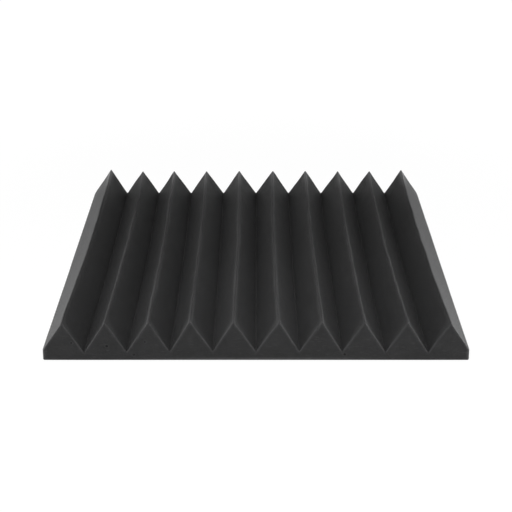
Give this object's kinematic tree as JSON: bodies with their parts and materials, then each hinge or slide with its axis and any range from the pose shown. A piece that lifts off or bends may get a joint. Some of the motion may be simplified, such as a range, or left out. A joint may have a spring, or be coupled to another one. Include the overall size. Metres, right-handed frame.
{
  "type": "acoustic foam panel",
  "caption": "Square charcoal foam tile with straight sharp wedges on one side, and an adhesive film under a slit release liner on its flat back.",
  "frame": {"origin": "middle of the underside, on the outer face of the release liner", "axes": "+Z out of the wedge side, away from the wall; +Y along the ridges; +X across them"},
  "size_m": [0.5, 0.5, 0.0504],
  "materials": {
    "charcoal_foam": "matte, soft open-cell polyurethane foam",
    "adhesive": "satin, milky acrylic adhesive on a thin carrier film",
    "release_paper": "matte paper with a faint silicone sheen"
  },
  "bodies": {
    "root": {"foam_wedge_panel": "charcoal_foam", "adhesive_film": "adhesive", "release_liner_left": "release_paper", "release_liner_right": "release_paper"}
  },
  "joints": []
}
